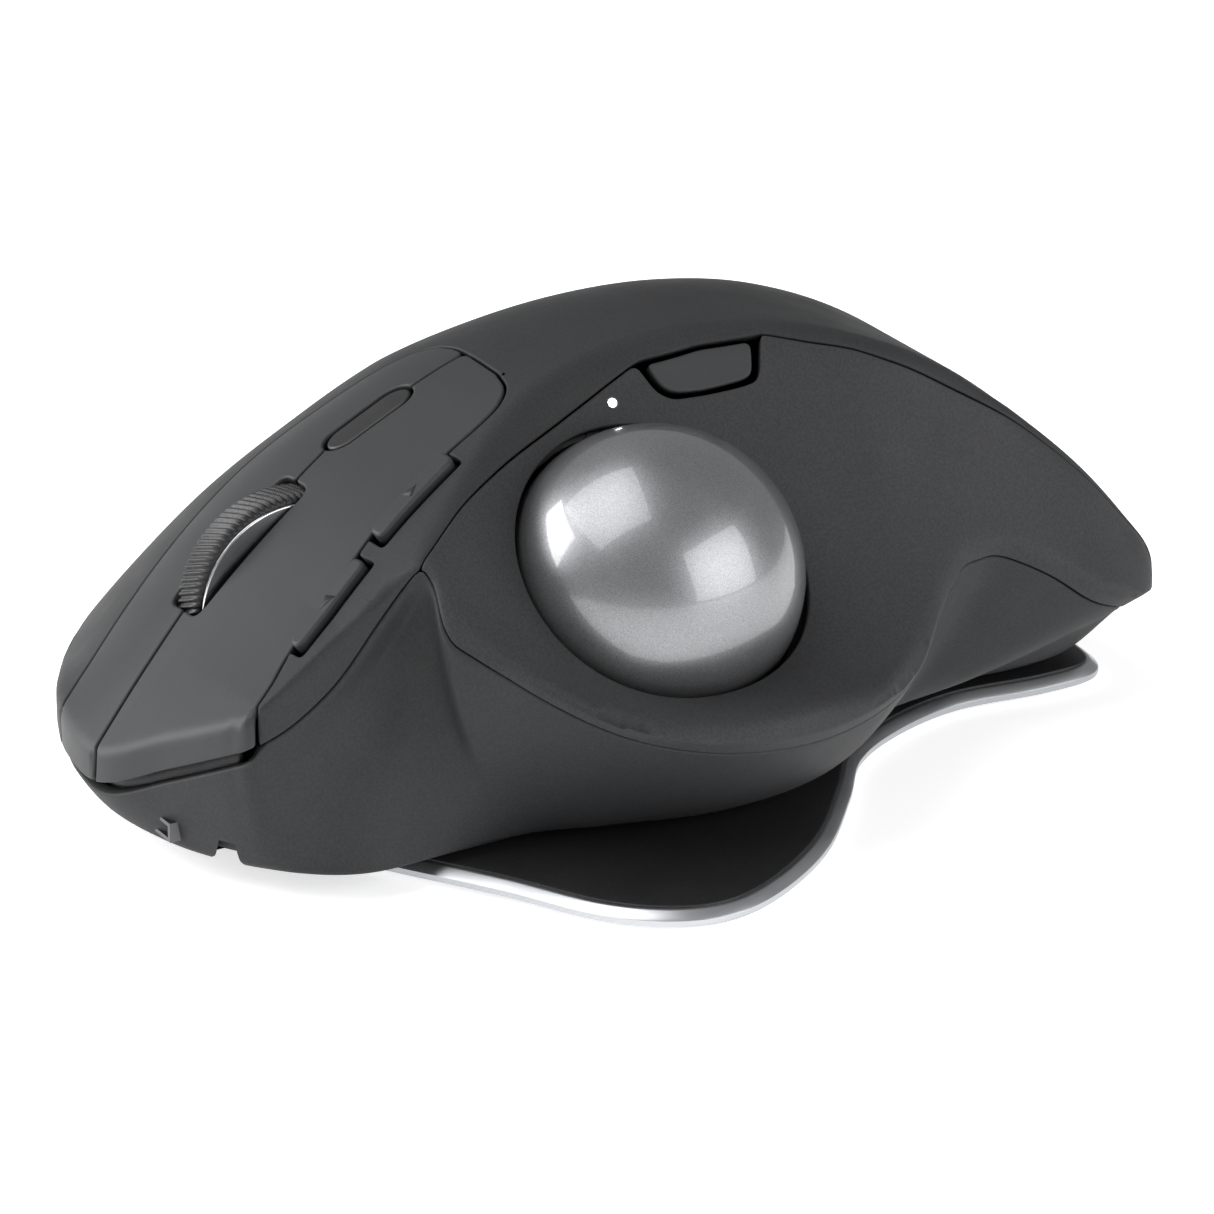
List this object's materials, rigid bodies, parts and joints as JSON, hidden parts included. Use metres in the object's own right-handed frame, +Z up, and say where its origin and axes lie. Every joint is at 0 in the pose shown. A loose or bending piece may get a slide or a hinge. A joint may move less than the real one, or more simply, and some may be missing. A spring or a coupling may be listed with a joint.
{
  "type": "thumb trackball mouse",
  "caption": "Thumb trackball mouse on a tilting steel base plate, with click keys, tilting scroll wheel, thumb-rest key, back and forward keys and a mode key.",
  "frame": {"origin": "middle of the footprint, on the desk", "axes": "+Z up, +Y towards the button end, the ball and the thumb rest on the -X side"},
  "size_m": [0.0999, 0.1304, 0.0514],
  "materials": {
    "shell": "soft-touch graphite, fine grain",
    "lower_shell": "soft-touch dark graphite",
    "keycap": "satin graphite",
    "black_plastic": "satin black",
    "rubber": "matt black",
    "steel": "bright chamfered edge",
    "plate_film": "semi-gloss black",
    "chrome": "polished",
    "ball": "pearl grey, clear coat",
    "circuit": "solder mask green",
    "battery": "foil",
    "plunger": "red",
    "lens": "clear",
    "lamp": "white, lit"
  },
  "bodies": {
    "base": {"base_plate": "steel", "plate_cover": "plate_film", "base_pad": "rubber", "hinge_bracket": "steel", "hinge_pin": "chrome"},
    "mouse": {"palm_shell": "shell", "thumb_rest": "shell", "lower_case": "lower_shell", "front_bumper": "black_plastic", "status_lamp": "lamp", "hinge_arm": "steel", "bearing_front": "chrome", "bearing_rear": "chrome", "bearing_low": "chrome", "ball_socket": "black_plastic", "optical_sensor": "black_plastic", "sensor_lens": "lens", "left_switch": "black_plastic", "right_switch": "black_plastic", "left_switch_stand": "lower_shell", "right_switch_stand": "lower_shell", "main_board": "circuit", "battery": "battery", "usb_port": "chrome", "screw_1": "chrome", "screw_2": "chrome", "screw_3": "chrome", "screw_4": "chrome"},
    "trackball": {"trackball": "ball"},
    "left_button": {"left_button": "keycap"},
    "right_button": {"right_button": "keycap"},
    "back_button": {"back_button": "keycap"},
    "forward_button": {"forward_button": "keycap"},
    "precision_button": {"precision_button": "keycap"},
    "mode_button": {"mode_button": "black_plastic"},
    "wheel_mount": {"wheel_cradle": "black_plastic"},
    "wheel_fork": {"wheel_yoke": "black_plastic"},
    "wheel": {"wheel_tyre": "rubber", "wheel_hub": "black_plastic", "wheel_rim_left": "chrome", "wheel_rim_right": "chrome", "wheel_axle": "chrome"},
    "left_plunger": {"left_plunger": "plunger"},
    "right_plunger": {"right_plunger": "plunger"},
    "power_slider": {"power_slider": "black_plastic"}
  },
  "joints": [
    {"name": "base_tilt", "type": "hinge", "parent": "base", "child": "mouse", "pos_m": [0.022, 0.0013, 0.0049], "axis": [0, 1, 0], "range_deg": [0, 20]},
    {"name": "ball_spin", "type": "hinge", "parent": "mouse", "child": "trackball", "pos_m": [-0.0218, 0.0069, 0.0296], "axis": [1, 0, 0], "continuous": true},
    {"name": "left_click", "type": "hinge", "parent": "mouse", "child": "left_button", "pos_m": [0, 0.0158, 0.0465], "axis": [1, 0, 0], "range_deg": [-0.7, 0], "stiffness_Nm_per_rad": 0.3},
    {"name": "right_click", "type": "hinge", "parent": "mouse", "child": "right_button", "pos_m": [0, 0.0158, 0.0465], "axis": [1, 0, 0], "range_deg": [-0.7, 0], "stiffness_Nm_per_rad": 0.3},
    {"name": "left_plunger_slide", "type": "slide", "parent": "mouse", "child": "left_plunger", "axis": [0, -0.6606, -0.7507], "range_m": [0, 0.00043]},
    {"name": "right_plunger_slide", "type": "slide", "parent": "mouse", "child": "right_plunger", "axis": [0, -0.6606, -0.7507], "range_m": [0, 0.00043]},
    {"name": "back_press", "type": "slide", "parent": "mouse", "child": "back_button", "axis": [0, 0, -1], "range_m": [0, 0.0005], "stiffness_N_per_m": 200},
    {"name": "forward_press", "type": "slide", "parent": "mouse", "child": "forward_button", "axis": [0, 0, -1], "range_m": [0, 0.0005], "stiffness_N_per_m": 200},
    {"name": "precision_press", "type": "slide", "parent": "mouse", "child": "precision_button", "axis": [0.8022, -0.0802, -0.5916], "range_m": [0, 0.0005], "stiffness_N_per_m": 200},
    {"name": "mode_press", "type": "slide", "parent": "mouse", "child": "mode_button", "axis": [0, 0, -1], "range_m": [0, 0.0005], "stiffness_N_per_m": 200},
    {"name": "wheel_press", "type": "slide", "parent": "mouse", "child": "wheel_mount", "axis": [0, -0.6198, -0.7848], "range_m": [0, 0.0006], "stiffness_N_per_m": 300},
    {"name": "wheel_tilt", "type": "hinge", "parent": "wheel_mount", "child": "wheel_fork", "pos_m": [0.0053, 0.0389, 0.0245], "axis": [0, 0.7848, -0.6198], "range_deg": [-3, 3], "stiffness_Nm_per_rad": 0.1},
    {"name": "wheel_spin", "type": "hinge", "parent": "wheel_fork", "child": "wheel", "pos_m": [0.0053, 0.0389, 0.0245], "axis": [1, 0, 0], "continuous": true},
    {"name": "power_slide", "type": "slide", "parent": "mouse", "child": "power_slider", "axis": [0, 1, 0], "range_m": [0, 0.002]}
  ],
  "couplings": [
    {"joint": "left_plunger_slide", "follows": "left_click", "m_per_rad": -0.0346},
    {"joint": "right_plunger_slide", "follows": "right_click", "m_per_rad": -0.0346}
  ]
}
